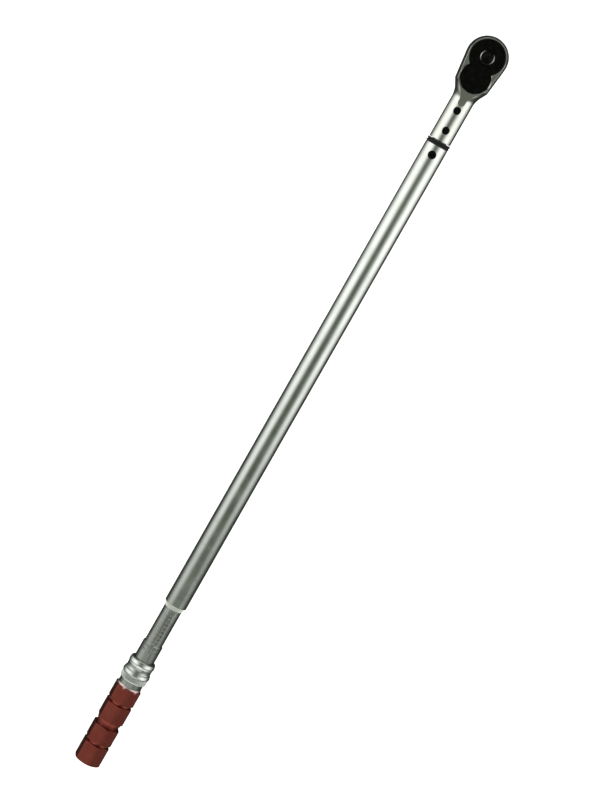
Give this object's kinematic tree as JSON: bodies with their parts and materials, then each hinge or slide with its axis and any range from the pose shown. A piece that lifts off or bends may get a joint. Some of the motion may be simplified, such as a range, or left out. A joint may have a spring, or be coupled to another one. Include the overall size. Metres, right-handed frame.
{
  "type": "torque wrench",
  "caption": "Long click-type torque wrench with a round reversible ratchet head, square drive, chrome tube, engraved scale, knurled lock ring and red six-sided grip.",
  "frame": {"origin": "on the drive axis, at the shoulder face that a socket seats against", "axes": "+X along the tube towards the grip; +Z towards the selector side, so that the square points to -Z; +Y completes the right-handed frame"},
  "size_m": [1.1274, 0.0572, 0.0607],
  "materials": {
    "chrome": "bright polished chrome plate",
    "tube_chrome": "satin chrome plate",
    "black_oxide": "black oxide, satin",
    "steel": "ground steel",
    "spring_steel": "oiled spring steel",
    "bearing_steel": "polished bearing steel",
    "bronze": "plain bearing bronze",
    "rubber": "matt black rubber",
    "nylon": "natural white nylon",
    "scale_chrome": "satin chrome with engraved marks",
    "knurled": "satin chrome, knurled band",
    "red_anodised": "red anodised, satin",
    "black_plastic": "moulded, fine grain"
  },
  "bodies": {
    "tube": {"main_tube": "tube_chrome", "mouth_bush": "steel", "seal_ring": "rubber", "pivot_screw": "black_oxide", "pivot_nut": "black_oxide", "end_bush": "nylon", "tube_adapter": "steel", "scale_tube": "scale_chrome", "load_nut": "bronze", "nut_pins": "steel", "main_spring": "spring_steel"},
    "head": {"head_body": "chrome", "head_cover": "black_oxide", "cover_snap_ring": "black_oxide", "gear_washer": "bronze", "lever_bar": "steel", "pivot_bush": "bronze", "neck_pins": "black_oxide"},
    "drive": {"drive_gear": "black_oxide", "release_spring": "spring_steel"},
    "release": {"release_button": "black_oxide", "release_pin": "steel"},
    "detent": {"detent_ball": "bearing_steel"},
    "selector": {"selector_disc": "black_oxide", "selector_clip": "spring_steel", "pawl_spring": "spring_steel", "pawl_ball": "bearing_steel"},
    "rocker": {"pawl": "steel"},
    "block": {"toggle_block": "bearing_steel"},
    "thruster": {"plunger": "steel", "plunger_seat": "steel"},
    "carriage": {"rear_spring_seat": "steel", "push_rod": "steel", "thrust_ball": "bearing_steel"},
    "handle": {"load_screw": "steel", "hub_washer": "steel", "hub_nut": "steel", "grip_hub": "scale_chrome", "thimble": "scale_chrome", "lock_clip": "spring_steel", "lock_spring": "spring_steel", "grip": "red_anodised", "grip_screws": "black_oxide", "end_cap": "black_plastic"},
    "lock": {"lock_ring": "knurled"}
  },
  "joints": [
    {"name": "head_pivot", "type": "hinge", "parent": "tube", "child": "head", "pos_m": [0.1438, 0, 0], "axis": [0, 0, 1], "range_deg": [0, 2], "stiffness_Nm_per_rad": 200, "springref_deg": -1.15},
    {"name": "drive_spin", "type": "hinge", "parent": "head", "child": "drive", "pos_m": [0, 0, 0], "axis": [0, 0, 1], "continuous": true},
    {"name": "selector_turn", "type": "hinge", "parent": "head", "child": "selector", "pos_m": [0.0305, 0, 0], "axis": [0, 0, 1], "range_deg": [0, 60]},
    {"name": "pawl_rock", "type": "hinge", "parent": "head", "child": "rocker", "pos_m": [0.0305, 0, 0], "axis": [0, 0, 1], "range_deg": [0, 14.1]},
    {"name": "release_press", "type": "slide", "parent": "drive", "child": "release", "axis": [0, 0, -1], "range_m": [0, 0.003], "stiffness_N_per_m": 800, "springref_m": -0.002, "deforming": ["release_spring"]},
    {"name": "ball_in", "type": "slide", "parent": "drive", "child": "detent", "axis": [0, -1, 0], "range_m": [0, 0.00091]},
    {"name": "block_tilt", "type": "hinge", "parent": "head", "child": "block", "pos_m": [0.21905, -0.005, 0], "axis": [0, 0, -1], "range_deg": [0, 15.7]},
    {"name": "plunger_slide", "type": "slide", "parent": "tube", "child": "thruster", "axis": [1, 0, 0], "range_m": [0, 0.00235]},
    {"name": "load_slide", "type": "slide", "parent": "tube", "child": "carriage", "axis": [-1, 0, 0], "range_m": [0, 0.0401], "deforming": ["main_spring"]},
    {"name": "grip_turn", "type": "hinge", "parent": "carriage", "child": "handle", "pos_m": [0, 0, 0.0175], "axis": [-1, 0, 0], "range_deg": [0, 7200]},
    {"name": "lock_pull", "type": "slide", "parent": "handle", "child": "lock", "axis": [1, 0, 0], "range_m": [0, 0.006], "stiffness_N_per_m": 600, "springref_m": -0.004, "deforming": ["lock_spring"]}
  ],
  "couplings": [
    {"joint": "pawl_rock", "follows": "selector_turn", "ratio": 0.23333},
    {"joint": "ball_in", "follows": "release_press", "ratio": 0.3},
    {"joint": "block_tilt", "follows": "head_pivot", "ratio": 7.79},
    {"joint": "plunger_slide", "follows": "head_pivot", "m_per_rad": 0.06589},
    {"joint": "load_slide", "follows": "grip_turn", "m_per_rad": 0.00031831}
  ]
}
